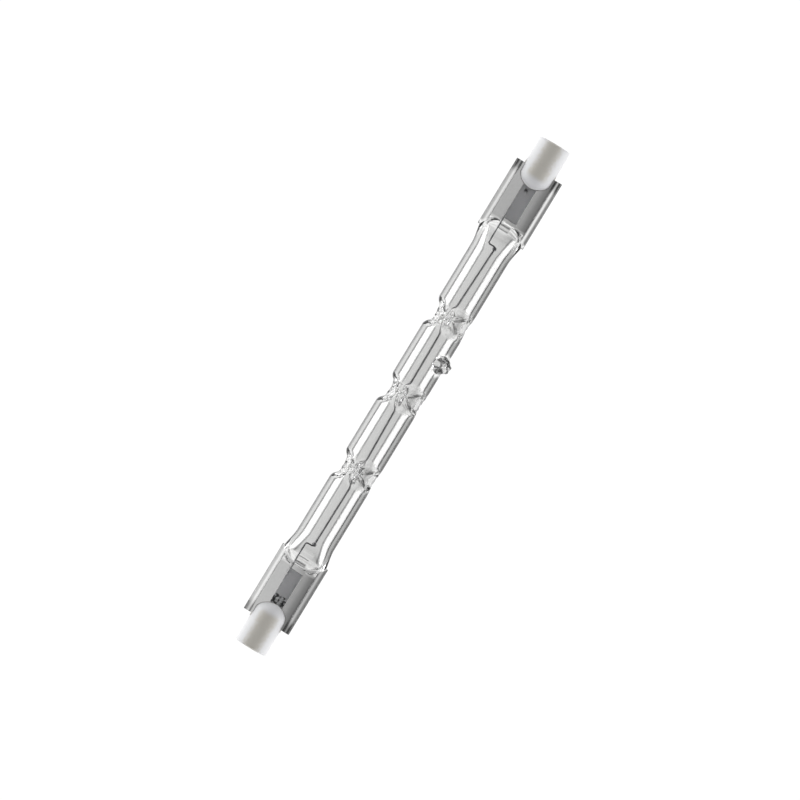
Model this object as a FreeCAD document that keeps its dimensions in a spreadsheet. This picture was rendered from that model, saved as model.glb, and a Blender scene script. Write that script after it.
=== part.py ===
import FreeCAD, Part

import math
import os
import re

import Sketcher
from FreeCAD import Placement, Rotation, Vector

# A double-ended linear halogen lamp. X runs along the lamp, Z is square to the flat pinch seals,
# and the origin is the middle of the lamp on its axis. Millimetres.

doc = FreeCAD.newDocument("LinearHalogenLamp")
sheet = doc.addObject("Spreadsheet::Sheet", "Sizes")

SIZES = {
    # the lamp as a lampholder sees it
    "overall_length": 117.6,
    "contact_recess": 1.7,
    # the round part of the quartz tube
    "tube_diameter": 8.5,
    "tube_wall": 1.0,
    # the waists drawn in where the tube was heated and pressed onto the filament
    "support_spacing": 17.8,
    "waist_length": 6.0,
    "waist_floor": 2.4,
    "waist_depth": 0.3,
    # the jaws that press the supports: blunt wedges that stop short of the axis
    "jaw_nose_length": 0.4,
    "jaw_nose_width": 1.1,
    "jaw_slope": 40.0,
    "jaw_reach": 6.15,
    "filament_grip": 0.4,
    # the shoulder in which the tube flattens into its pinch
    "shoulder_length": 9.0,
    "shoulder_overlap": 1.6,
    "shoulder_spread": 0.7,
    "cavity_end_height": 1.0,
    # the pinch seal
    "seal_width": 10.5,
    "seal_length": 14.2,
    "cap_overhang": 6.2,
    "web_thickness": 2.3,
    "rail_width": 1.4,
    "rail_height": 3.5,
    "rail_round": 0.45,
    # the raised pad over the welded end of the inner lead
    "pad_width": 3.4,
    "pad_length": 2.2,
    "pad_height": 0.25,
    "mark_gap": 0.45,
    "mark_length": 0.6,
    # the exhaust tip-off
    "tip_station": 9.2,
    "tip_turn": 140.0,
    "tip_reach": 6.6,
    "tip_base_radius": 2.1,
    "tip_shoulder": 0.9,
    "tip_neck_radius": 1.55,
    "tip_end_radius": 1.1,
    "tip_end_slope": 0.5,
    "channel_radius": 0.55,
    "channel_start": 2.5,
    "channel_reach": 5.4,
    # the ceramic cap
    "cap_diameter": 6.9,
    "dome_cover": 4.05,
    "dome_radius": 4.0,
    "dome_edge_depth": 0.45,
    "dome_edge_length": 0.8,
    "collar_diameter": 7.1,
    "collar_cover": 0.5,
    "collar_slope": 0.5,
    "cap_edge_bevel": 0.4,
    "recess_diameter": 3.6,
    "contact_seat_diameter": 2.8,
    "cement_layer": 0.15,
    "cement_plug": 0.6,
    # the contact in the cap
    "contact_gap": 0.05,
    "contact_sink": 0.1,
    "contact_thickness": 0.6,
    "contact_edge_bevel": 0.12,
    "shank_diameter": 1.6,
    "shank_length": 2.6,
    "shank_gap": 0.05,
    "shank_hole_depth": 2.0,
    # the leads and the foil sealed in the pinch
    "lead_gap": 0.03,
    "outer_lead_diameter": 0.6,
    "outer_lead_overlap": 2.2,
    "foil_inset": 2.5,
    "foil_cover": 3.2,
    "foil_width": 2.9,
    "foil_feather": 0.4,
    "foil_thickness": 0.06,
    "foil_edge_thickness": 0.02,
    "inner_lead_diameter": 0.3,
    "inner_lead_offset": 1.3,
    "inner_lead_overlap": 1.7,
    "hook_reach": 3.4,
    "hook_bend": 0.4,
    "spud_length": 1.2,
    "bead_radius": 0.42,
    # the filament coil, whose close wound ends sit on the hooks
    "coil_diameter": 0.5,
    "coil_fit": 0.01,
    "coil_end_length": 1.6,
    "coil_end_swell": 0.04,
}
for row, (name, number) in enumerate(SIZES.items(), start=1):
    sheet.set(f"A{row}", name)
    sheet.set(f"B{row}", str(number))
    sheet.setAlias(f"B{row}", name)
doc.recompute()

# Places that several pieces share, worked out from the sizes above.
HALF_LENGTH = "overall_length / 2"
CONTACT_FACE = f"({HALF_LENGTH} - contact_recess)"
RECESS_FLOOR = f"({CONTACT_FACE} + contact_sink)"
SEAT_FLOOR = f"({CONTACT_FACE} - contact_thickness)"
SEAL_END = f"({HALF_LENGTH} - cap_overhang)"
SEAL_START = f"({SEAL_END} - seal_length)"
SLOT_END = f"({SEAL_END} + cement_plug)"
SHOULDER_END = f"({SEAL_START} + shoulder_overlap)"
ROUND_END = f"({SHOULDER_END} - shoulder_length)"
PAD_END = f"({SHOULDER_END} + pad_length)"
COLLAR_RADIUS = "(collar_diameter / 2)"
DOME_TIP = f"({SEAL_END} - dome_cover)"
BORE_RADIUS = "(shank_diameter / 2 + shank_gap)"
TUBE_RADIUS = "(tube_diameter / 2)"
CAVITY_RADIUS = "(tube_diameter / 2 - tube_wall)"
JAW_OFFSET = "tan(45deg - jaw_slope * 0.5deg)"
WEB_HALF = "web_thickness / 2"
FOIL_HALF = "foil_thickness / 2"
FOIL_START = f"({SEAL_START} + foil_inset)"
FOIL_END = f"({SEAL_END} - foil_cover)"
OUTER_LEAD_START = f"({FOIL_END} - outer_lead_overlap)"
INNER_LEAD_START = f"({FOIL_START} + inner_lead_overlap)"
HOOK = f"({SEAL_START} - hook_reach)"
BEAD = f"({HOOK} - hook_bend)"
COIL_START = f"({BEAD} - bead_radius)"

# The supports, and the jaws round each of them.
STATIONS = ("-support_spacing", "0", "support_spacing")
JAWS = 3

ALONG = Rotation(Vector(1, 1, 1), 120)
ENDS = {"a": Rotation(), "b": Rotation(Vector(0, 1, 0), 180)}


def bound(text):
    """The expression as other objects of the document read it."""
    return re.sub(r"(?<![\w.])([a-z]\w*)(?!\w*\()", r"Sizes.\1", str(text))


def value(text):
    """The number that an expression over the sheet comes to."""
    return float(sheet.evalExpression(str(text)))


def bind(item, prop, text):
    item.setExpression(prop, bound(text))


def new_body(name, turn=Rotation()):
    body = doc.addObject("PartDesign::Body", name)
    body.Label = name
    body.Placement = Placement(Vector(), turn)
    return body


def new_sketch(body, name, role="XY_Plane", offset=None):
    """A sketch on one of the body's own planes, moved along its normal by an expression."""
    sketch = body.newObject("Sketcher::SketchObject", name)
    plane = next(p for p in body.Origin.OriginFeatures if p.Role == role)
    sketch.AttachmentSupport = (plane, [""])
    sketch.MapMode = "FlatFace"
    if offset:
        bind(sketch, "AttachmentOffset.Base.z", offset)
    return sketch


def pin(sketch, geometry, end, x_text, y_text):
    """Hold one point of the sketch at two expressions."""
    for kind, text in (("DistanceX", x_text), ("DistanceY", y_text)):
        place = sketch.addConstraint(
            Sketcher.Constraint(kind, -1, 1, geometry, end, value(text))
        )
        bind(sketch, f"Constraints[{place}]", text)


def outline(sketch, corners):
    """A closed outline. Each corner is (x, y) or (x, y, radius, side): then an arc of that radius
    runs to the next corner, bulging to the left of the way there for side 1, right for -1."""
    points = [Vector(value(c[0]), value(c[1]), 0) for c in corners]
    ends = []
    for index, corner in enumerate(corners):
        start, stop = points[index], points[(index + 1) % len(points)]
        if len(corner) == 2:
            line = sketch.addGeometry(Part.LineSegment(start, stop))
            ends.append((line, 1, 2))
            continue
        radius, side = value(corner[2]), corner[3]
        chord = stop - start
        rise = radius - math.sqrt(max(radius**2 - (chord.Length / 2) ** 2, 0))
        left = Vector(-chord.y, chord.x, 0).normalize()
        middle = (start + stop) / 2 + left * side * rise
        arc = sketch.addGeometry(Part.Arc(start, middle, stop))
        forward = (sketch.getPoint(arc, 1) - start).Length < (sketch.getPoint(arc, 2) - start).Length
        ends.append((arc, 1, 2) if forward else (arc, 2, 1))
        held = sketch.addConstraint(Sketcher.Constraint("Radius", arc, radius))
        bind(sketch, f"Constraints[{held}]", corner[2])
    for index, (geometry, first, last) in enumerate(ends):
        following = ends[(index + 1) % len(ends)]
        sketch.addConstraint(Sketcher.Constraint("Coincident", geometry, last, following[0], following[1]))
        pin(sketch, geometry, first, *corners[index][:2])


def circle(sketch, x_text, y_text, radius_text):
    centre = Vector(value(x_text), value(y_text), 0)
    ring = sketch.addGeometry(Part.Circle(centre, Vector(0, 0, 1), value(radius_text)))
    pin(sketch, ring, 3, x_text, y_text)
    held = sketch.addConstraint(Sketcher.Constraint("Radius", ring, value(radius_text)))
    bind(sketch, f"Constraints[{held}]", radius_text)


def rectangle(sketch, x_low, x_high, y_low, y_high):
    outline(sketch, [(x_low, y_low), (x_high, y_low), (x_high, y_high), (x_low, y_high)])


def revolve(body, name, corners):
    """A profile in X and Y turned about the body's X axis."""
    sketch = new_sketch(body, name + "_profile")
    outline(sketch, corners)
    turned = body.newObject("PartDesign::Revolution", name)
    turned.Profile = sketch
    turned.ReferenceAxis = (sketch, ["H_Axis"])
    turned.Angle = 360
    doc.recompute()
    return turned


def pad(body, name, sketch, length, both_ways=False):
    grown = body.newObject("PartDesign::Pad", name)
    grown.Profile = sketch
    bind(grown, "Length", length)
    grown.Midplane = both_ways
    doc.recompute()
    return grown


def pocket(body, name, sketch, length, both_ways=False, reverse=False):
    """Cut the sketch out of the body, and make sure that something was cut."""
    before = body.Shape.Volume
    cut = body.newObject("PartDesign::Pocket", name)
    cut.Profile = sketch
    bind(cut, "Length", length)
    cut.Midplane = both_ways
    cut.Reversed = reverse
    doc.recompute()
    if not body.Shape.Volume < before:
        raise ValueError(f"{name} cuts nothing")
    return cut


def ease_edges(body, kind, name, feature, wanted, size):
    """Fillet or Chamfer the feature's edges for which wanted(edge) is true."""
    edges = [f"Edge{i}" for i, edge in enumerate(feature.Shape.Edges, start=1) if wanted(edge)]
    eased = body.newObject(f"PartDesign::{kind}", name)
    eased.Base = (feature, edges)
    bind(eased, "Radius" if kind == "Fillet" else "Size", size)
    doc.recompute()
    return eased


def join(kind, name, **links):
    """A boolean of Part: MultiFuse, Cut or Common."""
    result = doc.addObject(f"Part::{kind}", name)
    for prop, target in links.items():
        setattr(result, prop, target)
    doc.recompute()
    return result


def box(name, x_low, length, width, height, turn=Rotation()):
    """A box that starts at x_low and is centred on the lamp's axis across it."""
    block = doc.addObject("Part::Box", name)
    low = Vector(value(x_low), -value(width) / 2, -value(height) / 2)
    block.Placement = Placement(turn.multVec(low), turn)
    for prop, text in (("Length", length), ("Width", width), ("Height", height)):
        bind(block, prop, text)
    flip = "-1" if turn.Angle else "1"
    bind(block, "Placement.Base.x", f"{flip} * ({x_low})")
    bind(block, "Placement.Base.y", f"-({width}) / 2")
    bind(block, "Placement.Base.z", f"{flip} * (-({height}) / 2)")
    return block


def tube_profile(radius):
    """Half the section of the round part, with a shallow hollow at each of the three supports."""
    corners = [(f"-{ROUND_END}", "0"), (f"-{ROUND_END}", radius)]
    for station in STATIONS:
        corners.append((f"{station} - waist_length / 2", radius))
        corners.append((f"{station} - waist_floor / 2", f"{radius} - waist_depth"))
        corners.append((f"{station} + waist_floor / 2", f"{radius} - waist_depth"))
        corners.append((f"{station} + waist_length / 2", radius))
    return corners + [(ROUND_END, radius), (ROUND_END, "0")]


# The shoulder: the round tube widens across and flattens until it is lost in the web of the pinch.
# Each section is (how far along the shoulder, share of the spread, height as a share of the tube's).
# The last ring is the foot, where the shoulder runs out. The cavity in it ends with a blunter one.
SHOULDER = ((0.0, 0.0, 1.0), (0.35, 0.22, 0.96), (0.6, 0.56, 0.82), (0.78, 0.88, 0.56), (0.9, 1.0, 0.38))
SHOULDER_FOOT = 1.08
CAVITY_FOOT = 0.93
FOOT_SHARE = 0.6


def shoulder(name, turn, radius, spread, rings_used, foot, foot_width, foot_height):
    """A loft of flattening ellipses from the round tube to its foot."""
    sections = [
        (along * foot, f"{radius} + {share} * {spread}", f"{tall} * {radius}")
        for along, share, tall in SHOULDER[:rings_used]
    ]
    sections.append((foot, foot_width, foot_height))
    rings = []
    for index, (along, across, tall) in enumerate(sections):
        ring = doc.addObject("Part::Ellipse", f"{name}_{index}")
        ring.Placement = Placement(Vector(), turn * ALONG)
        bind(ring, "MajorRadius", across)
        bind(ring, "MinorRadius", tall)
        flip = "-1" if turn.Angle else "1"
        bind(ring, "Placement.Base.x", f"{flip} * ({ROUND_END} + {along} * shoulder_length)")
        rings.append(ring)
    loft = doc.addObject("Part::Loft", name)
    loft.Sections = rings
    loft.Solid = True
    loft.Ruled = True
    return loft


def pinch_seal(side, turn):
    """The pressed end: a flat web between two raised rails, with a pad over the inner weld."""
    body = new_body(f"pinch_{side}", turn)
    section = new_sketch(body, "section", "YZ_Plane", SEAL_START)
    half, inner, rail = "seal_width / 2", "(seal_width / 2 - rail_width)", "rail_height / 2"
    outline(
        section,
        [
            (half, f"-{rail}"), (half, rail), (inner, rail), (inner, WEB_HALF),
            (f"-{inner}", WEB_HALF), (f"-{inner}", rail), (f"-{half}", rail), (f"-{half}", f"-{rail}"),
            (f"-{inner}", f"-{rail}"), (f"-{inner}", f"-{WEB_HALF}"),
            (inner, f"-{WEB_HALF}"), (inner, f"-{rail}"),
        ],
    )
    slab = pad(body, "slab", section, "seal_length")
    rim = value("rail_height") / 2
    ease_edges(
        body,
        "Fillet",
        "rail_rounds",
        slab,
        lambda edge: abs(abs(edge.CenterOfMass.z) - rim) < 0.01 and edge.BoundBox.XLength > 1,
        "rail_round",
    )
    weld = new_sketch(body, "weld_pad")
    rectangle(weld, SEAL_START, PAD_END, "-pad_width / 2", "pad_width / 2")
    pad(body, "raised_pad", weld, "web_thickness + 2 * pad_height", both_ways=True)
    mark = new_sketch(body, "jaw_mark")
    mark_start = f"{PAD_END} + mark_gap"
    rectangle(mark, mark_start, f"{mark_start} + mark_length", "-pad_width / 2", "pad_width / 2")
    pad(body, "raised_mark", mark, "web_thickness + pad_height", both_ways=True)
    return body


def exhaust_tip():
    """The drop of glass where the tube was filled and sealed, and the channel left inside it."""
    turn = Rotation(Vector(1, 0, 0), value("tip_turn")) * Rotation(Vector(0, 0, 1), 90)
    pieces = []
    root = f"({TUBE_RADIUS} - tube_wall / 2)"
    drop = [
        (root, "0"),
        (root, "tip_base_radius"),
        (f"{TUBE_RADIUS} + tip_shoulder", "tip_neck_radius"),
        ("tip_reach - tip_end_slope", "tip_end_radius"),
        ("tip_reach", "tip_end_radius - tip_end_slope"),
        ("tip_reach", "0"),
    ]
    channel = [
        ("channel_start", "0"),
        ("channel_start", "channel_radius"),
        ("channel_reach", "channel_radius"),
        ("channel_reach", "0"),
    ]
    for name, corners in (("tip_drop", drop), ("tip_channel", channel)):
        body = new_body(name)
        revolve(body, name + "_turned", corners)
        body.Placement = Placement(Vector(value("tip_station"), 0, 0), turn)
        bind(body, "Placement.Base.x", "tip_station")
        pieces.append(body)
    return pieces


def jaws(name, nose, wall):
    """The nine pressings of the supports: at each station three blunt wedges, a third of a turn
    apart. With a wall, each wedge is grown by it, and so leaves the cavity's side of the glass."""
    length, width = (
        f"(jaw_nose_{across} / 2 + {wall} * {JAW_OFFSET})" for across in ("length", "width")
    )
    widening = f"(jaw_reach - {nose}) * tan(jaw_slope * 1deg)"
    master = doc.addObject("Part::Wedge", name + "_master")
    for prop, text in (
        ("Ymin", nose), ("Xmin", f"-{length}"), ("Xmax", length), ("Zmin", f"-{width}"), ("Zmax", width),
        ("Ymax", "jaw_reach"), ("X2min", f"-{length} - {widening}"), ("X2max", f"{length} + {widening}"),
        ("Z2min", f"-{width} - {widening}"), ("Z2max", f"{width} + {widening}"),
    ):
        bind(master, prop, text)
    copies = []
    for station_index, station in enumerate(STATIONS):
        for direction in range(JAWS):
            copy = doc.addObject("App::Link", f"{name}_{station_index}_{direction}")
            copy.LinkedObject = master
            turn = Rotation(Vector(1, 0, 0), 360 / JAWS * direction)
            copy.Placement = Placement(Vector(value(station), 0, 0), turn)
            bind(copy, "Placement.Base.x", station)
            copies.append(copy)
    return join("MultiFuse", name, Shapes=copies)


def contact(side, turn):
    """A turned button whose shank passes through the cap and takes the outer lead."""
    body = new_body(f"contact_{side}", turn)
    head = "(contact_seat_diameter / 2 - contact_gap)"
    shank_end = f"({SEAT_FLOOR} - shank_length)"
    hole = "(outer_lead_diameter / 2 + lead_gap)"
    hole_end = f"({shank_end} + shank_hole_depth)"
    button = revolve(
        body,
        "button",
        [
            (hole_end, "0"),
            (hole_end, hole),
            (shank_end, hole),
            (shank_end, "shank_diameter / 2"),
            (SEAT_FLOOR, "shank_diameter / 2"),
            (SEAT_FLOOR, head),
            (CONTACT_FACE, head),
            (CONTACT_FACE, "0"),
        ],
    )
    rim = value(head)
    front = value(CONTACT_FACE)
    ease_edges(
        body,
        "Chamfer",
        "button_rim",
        button,
        lambda edge: abs(edge.BoundBox.YMax - rim) < 0.01 and abs(edge.CenterOfMass.x - front) < 0.01,
        "contact_edge_bevel",
    )
    return body


def cap_corners():
    """The cap's outside as a profile: a shallow dome, a low collar and a plain barrel."""
    edge = f"({COLLAR_RADIUS} - dome_edge_depth)"
    dome_end = f"({DOME_TIP} + dome_radius - sqrt(dome_radius ^ 2 - {edge} ^ 2))"
    collar_end = f"({SEAL_END} + collar_cover)"
    return [
        (DOME_TIP, "0", "dome_radius", 1),
        (dome_end, edge),
        (f"{dome_end} + dome_edge_length", COLLAR_RADIUS),
        (collar_end, COLLAR_RADIUS),
        (f"{collar_end} + collar_slope", "cap_diameter / 2"),
        (HALF_LENGTH, "cap_diameter / 2"),
    ]


def ceramic_cap(side, turn):
    """A pressed ceramic cap, with a slot for the pinch and a stepped bore for the contact."""
    body = new_body(f"ceramic_cap_{side}", turn)
    barrel = revolve(
        body,
        "barrel",
        cap_corners()
        + [
            (HALF_LENGTH, "recess_diameter / 2"),
            (RECESS_FLOOR, "recess_diameter / 2"),
            (RECESS_FLOOR, "contact_seat_diameter / 2"),
            (SEAT_FLOOR, "contact_seat_diameter / 2"),
            (SEAT_FLOOR, BORE_RADIUS),
            (SLOT_END, BORE_RADIUS),
            (SLOT_END, "0"),
        ],
    )
    end, rim = value(HALF_LENGTH), value("cap_diameter / 2")
    ease_edges(
        body,
        "Chamfer",
        "end_bevel",
        barrel,
        lambda edge: abs(edge.CenterOfMass.x - end) < 0.01 and abs(edge.BoundBox.YMax - rim) < 0.01,
        "cap_edge_bevel",
    )
    slot = new_sketch(body, "slot_outline")
    rectangle(slot, SEAL_START, SLOT_END, "-collar_diameter", "collar_diameter")
    pocket(body, "slot", slot, "web_thickness + 2 * cement_layer", both_ways=True)
    return body


def foil(side, turn):
    """A thin strip, feathered along its edges, that the quartz seals to."""
    body = new_body(f"sealing_foil_{side}", turn)
    section = new_sketch(body, "foil_section", "YZ_Plane", FOIL_START)
    half, flat = "foil_width / 2", "(foil_width / 2 - foil_feather)"
    edge = "foil_edge_thickness / 2"
    outline(
        section,
        [
            (half, f"-{edge}"), (half, edge), (flat, FOIL_HALF), (f"-{flat}", FOIL_HALF),
            (f"-{half}", edge), (f"-{half}", f"-{edge}"), (f"-{flat}", f"-{FOIL_HALF}"),
            (flat, f"-{FOIL_HALF}"),
        ],
    )
    pad(body, "strip", section, f"{FOIL_END} - {FOIL_START}")
    return body


def flatten(body, x_low, x_high, width, centre):
    """Take away what lies below the top of the foil, so that the wire lies flat on it."""
    seat = new_sketch(body, "foil_seat", "XY_Plane", FOIL_HALF)
    rectangle(seat, x_low, x_high, f"{centre} - {width}", f"{centre} + {width}")
    pocket(body, "weld_flat", seat, width)


def outer_lead(side, turn):
    """A straight wire from its weld on the foil into the shank of the contact."""
    body = new_body(f"outer_lead_{side}", turn)
    lead_end = f"({SEAT_FLOOR} - shank_length + shank_hole_depth - lead_gap)"
    section = new_sketch(body, "wire_section", "YZ_Plane", OUTER_LEAD_START)
    circle(section, "0", "0", "outer_lead_diameter / 2")
    pad(body, "wire", section, f"{lead_end} - {OUTER_LEAD_START}")
    flatten(body, FOIL_START, f"{FOIL_END} + lead_gap", "outer_lead_diameter", "0")
    return body


def inner_lead(side, turn):
    """A thin wire from the foil that hooks over to the axis and ends in a bead and a spud."""
    body = new_body(f"inner_lead_{side}", turn)
    section = new_sketch(body, "wire_section", "YZ_Plane", INNER_LEAD_START)
    circle(section, "inner_lead_offset", "0", "inner_lead_diameter / 2")
    route = new_sketch(body, "route")
    corners = [
        (INNER_LEAD_START, "inner_lead_offset"),
        (f"{HOOK} + hook_bend", "inner_lead_offset"),
        (HOOK, "inner_lead_offset - hook_bend"),
        (HOOK, "hook_bend"),
        (BEAD, "0"),
        (f"{BEAD} - spud_length", "0"),
    ]
    points = [Vector(value(x), value(y), 0) for x, y in corners]
    for index, (here, there) in enumerate(zip(points, points[1:])):
        route.addGeometry(Part.LineSegment(here, there))
        pin(route, index, 1, *corners[index])
        if index:
            route.addConstraint(Sketcher.Constraint("Coincident", index - 1, 2, index, 1))
    pin(route, len(points) - 2, 2, *corners[-1])
    doc.recompute()
    wire = body.newObject("PartDesign::AdditivePipe", "wire")
    wire.Profile = section
    wire.Spine = route
    wire.Transition = "Right corner"
    doc.recompute()
    revolve(
        body,
        "bead",
        [
            (COIL_START, "0"),
            (COIL_START, "bead_radius / 2"),
            (f"{BEAD} - bead_radius / 2", "bead_radius"),
            (f"{BEAD} + bead_radius / 2", "bead_radius"),
            (f"{BEAD} + bead_radius", "bead_radius / 2"),
            (f"{BEAD} + bead_radius", "0"),
        ],
    )
    flatten(body, FOIL_START, SEAL_END, "inner_lead_diameter", "inner_lead_offset")
    return body


def filament():
    """The coil as a fine tube of its own diameter, with the swell of its close wound ends."""
    body = new_body("filament")
    hollow = "(inner_lead_diameter / 2 + coil_fit)"
    outside = "coil_diameter / 2"
    swell = f"({outside} + coil_end_swell)"
    swell_end = f"({COIL_START} - coil_end_length)"
    revolve(
        body,
        "coil",
        [
            (f"-{COIL_START}", hollow),
            (f"-{COIL_START}", swell),
            (f"-{swell_end}", swell),
            (f"-{swell_end}", outside),
            (swell_end, outside),
            (swell_end, swell),
            (COIL_START, swell),
            (COIL_START, hollow),
        ],
    )
    return body


sub_parts = []
sealed_in = []
seals = []
shoulders = []
cavity_ends = []
for side, turn in ENDS.items():
    sealed = [foil(side, turn), outer_lead(side, turn), inner_lead(side, turn)]
    cap = ceramic_cap(side, turn)
    button = contact(side, turn)
    sub_parts += sealed + [cap, button]
    sealed_in += sealed
    seals.append(pinch_seal(side, turn))
    shoulders.append(
        shoulder(f"shoulder_{side}", turn, TUBE_RADIUS, "shoulder_spread", len(SHOULDER), SHOULDER_FOOT,
                 "seal_width / 2 - rail_width", f"{FOOT_SHARE} * {WEB_HALF}")
    )
    cavity_ends.append(
        shoulder(f"cavity_end_{side}", turn, CAVITY_RADIUS, "shoulder_spread / 2", len(SHOULDER) - 1,
                 CAVITY_FOOT, f"{FOOT_SHARE} * {CAVITY_RADIUS}", "cavity_end_height / 2")
    )
sub_parts.append(filament())

# The envelope: the glass that the jaws left, less the cavity that they left.
tip_drop, tip_channel = exhaust_tip()
tube = new_body("tube_outside")
revolve(tube, "tube_turned", tube_profile(TUBE_RADIUS))
bore = new_body("tube_bore")
revolve(bore, "bore_turned", tube_profile(CAVITY_RADIUS))
glass = join("MultiFuse", "glass", Shapes=[tube, tip_drop] + shoulders + seals)
cavity = join("MultiFuse", "cavity", Shapes=[bore, tip_channel] + cavity_ends)
outer_jaws = jaws("jaws", "(filament_grip + tube_wall)", "0")
inner_jaws = jaws("jaws_and_wall", "filament_grip", "tube_wall")
pressed_glass = join("Cut", "pressed_glass", Base=glass, Tool=outer_jaws)
pressed_cavity = join("Cut", "pressed_cavity", Base=cavity, Tool=inner_jaws)
hollow_glass = join("Cut", "hollow_glass", Base=pressed_glass, Tool=pressed_cavity)
metal = join("MultiFuse", "sealed_metal", Shapes=sealed_in)
sub_parts.append(join("Cut", "quartz_envelope", Base=hollow_glass, Tool=metal))

# The cement fills the slot of each cap round the pinch and the outer lead.
for side, turn in ENDS.items():
    blank = new_body(f"cap_blank_{side}", turn)
    revolve(blank, "blank", cap_corners() + [(HALF_LENGTH, "0")])
    slot = box(
        f"slot_space_{side}", DOME_TIP, f"{SLOT_END} - {DOME_TIP}", "2 * collar_diameter",
        "web_thickness + 2 * cement_layer", turn,
    )
    filling = join("MultiCommon", f"slot_filling_{side}", Shapes=[blank, slot])
    lead = doc.getObject(f"outer_lead_{side}")
    inside = join("MultiFuse", f"inside_cement_{side}", Shapes=[doc.getObject(f"pinch_{side}"), lead])
    sub_parts.append(join("Cut", f"cap_cement_{side}", Base=filling, Tool=inside))

doc.recompute()
for item in doc.Objects:
    if {"Invalid", "Error"} & set(item.State):
        raise ValueError(f"{item.Name} is {item.State}")
os.makedirs("parts", exist_ok=True)
for item in sub_parts:
    shape = item.Shape
    if shape.isNull() or not shape.isValid() or len(shape.Solids) != 1:
        raise ValueError(f"{item.Label} is not one whole solid: {len(shape.Solids)}")
    print(f"{item.Label:18s} {shape.Volume:10.3f} mm3  {len(shape.Faces):3d} faces")
    shape.exportStep(f"parts/{item.Label}.step")
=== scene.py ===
# %% [markdown]
# # A linear halogen lamp
# The lamp's solids come in as a fixed frame. This script dresses them: it makes the glass, the
# coiled filament, the hooks and the caps finer than the solids are, gives every piece its finish,
# and lays the lamp on a glowing table between two long soft boxes. Everything is in metres, X runs
# along the lamp and Z looks up at the camera.

# %% Load the frame
import math

import bmesh
import bpy
from mathutils import Matrix, Vector, noise


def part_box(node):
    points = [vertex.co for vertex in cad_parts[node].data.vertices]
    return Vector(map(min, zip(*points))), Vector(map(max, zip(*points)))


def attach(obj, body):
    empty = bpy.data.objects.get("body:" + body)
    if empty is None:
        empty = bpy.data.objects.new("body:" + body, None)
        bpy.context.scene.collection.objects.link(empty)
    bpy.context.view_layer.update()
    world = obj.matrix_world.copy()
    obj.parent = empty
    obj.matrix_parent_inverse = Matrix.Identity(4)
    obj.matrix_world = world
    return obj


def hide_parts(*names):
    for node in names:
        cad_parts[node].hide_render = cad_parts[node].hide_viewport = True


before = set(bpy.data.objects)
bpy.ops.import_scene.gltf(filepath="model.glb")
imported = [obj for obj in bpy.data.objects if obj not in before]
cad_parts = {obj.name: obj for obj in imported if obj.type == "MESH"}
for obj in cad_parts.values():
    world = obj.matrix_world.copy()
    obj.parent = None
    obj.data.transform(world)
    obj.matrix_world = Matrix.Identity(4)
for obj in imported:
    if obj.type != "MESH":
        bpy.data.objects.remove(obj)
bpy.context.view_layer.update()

print("frame:", sorted(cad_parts))

# %% [markdown]
# ## Sizes that the frame gives
# A few corners of the solids say where everything goes. The sizes that no box shows, such as the
# thickness of the glass, are written once, in millimetres times MM.

# %% Read the sizes
MM = 0.001
glass_low, glass_high = (Vector(corner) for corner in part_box("quartz_envelope"))
cap_low, cap_high = (Vector(corner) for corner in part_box("ceramic_cap_a"))
coil_low, coil_high = (Vector(corner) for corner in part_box("filament"))
hook_low, hook_high = (Vector(corner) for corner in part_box("inner_lead_a"))

TUBE_RADIUS = -glass_low.z
TUBE_WALL = 1.0 * MM
SEAL_END = glass_high.x
SEAL_LENGTH = 14.2 * MM
SEAL_HALF_WIDTH = glass_high.y
SEAL_START = SEAL_END - SEAL_LENGTH
SHOULDER_END = SEAL_START + 1.6 * MM
ROUND_END = SHOULDER_END - 9.0 * MM
SUPPORT_PITCH = 17.8 * MM
END_TURNS = {"a": Matrix.Identity(4), "b": Matrix.Rotation(math.pi, 4, "Y")}
print(f"tube {TUBE_RADIUS / MM:.2f} mm in radius, pinches end at {SEAL_END / MM:.2f} mm")


# %% [markdown]
# ## From a bmesh to a finished piece
# Each shape is built in a bmesh and then becomes one object. Its faces are smooth, and edges that
# fold more sharply than a given angle stay crisp. An object sits at the origin, and its place is
# in its mesh, as it is for the solids.

# %% Make an object
CRISP_ABOVE = 35


def keep_crisp(mesh, degrees):
    mesh.polygons.foreach_set("use_smooth", [True] * len(mesh.polygons))
    mesh.set_sharp_from_angle(angle=math.radians(degrees))


def make_object(name, shape, crisp_above=CRISP_ABOVE):
    mesh = bpy.data.meshes.new(name)
    shape.to_mesh(mesh)
    shape.free()
    keep_crisp(mesh, crisp_above)
    thing = bpy.data.objects.new(name, mesh)
    bpy.context.collection.objects.link(thing)
    return thing


def finish_piece(thing, material, slot, *nodes):
    """Give the piece its material and let it stand for its solids."""
    thing.data.materials.clear()
    thing.data.materials.append(material)
    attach(thing, "root")
    if nodes:
        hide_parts(*nodes)
    thing.data.calc_loop_triangles()
    print(f"{thing.name}: {len(thing.data.loop_triangles)} triangles")


# %% [markdown]
# ## Turned shapes
# A lathe turns a profile about an axis, and so does the spin operator. The profile is a chain of a
# few points (distance along X, radius). Where a point has a third value, that corner is rounded.

# %% Turn a profile about X
CORNER_STEPS = 5
MERGE_WITHIN = 0.002 * MM


def spin_round(shape, segments):
    """Turn a chain of edges once about X, and close it at its poles."""
    bmesh.ops.spin(
        shape, geom=shape.verts[:] + shape.edges[:], cent=(0, 0, 0), axis=(1, 0, 0),
        angle=math.tau, steps=segments, use_merge=True,
    )
    bmesh.ops.remove_doubles(shape, verts=shape.verts, dist=MERGE_WITHIN)
    bmesh.ops.recalc_face_normals(shape, faces=shape.faces)
    return shape


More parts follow.
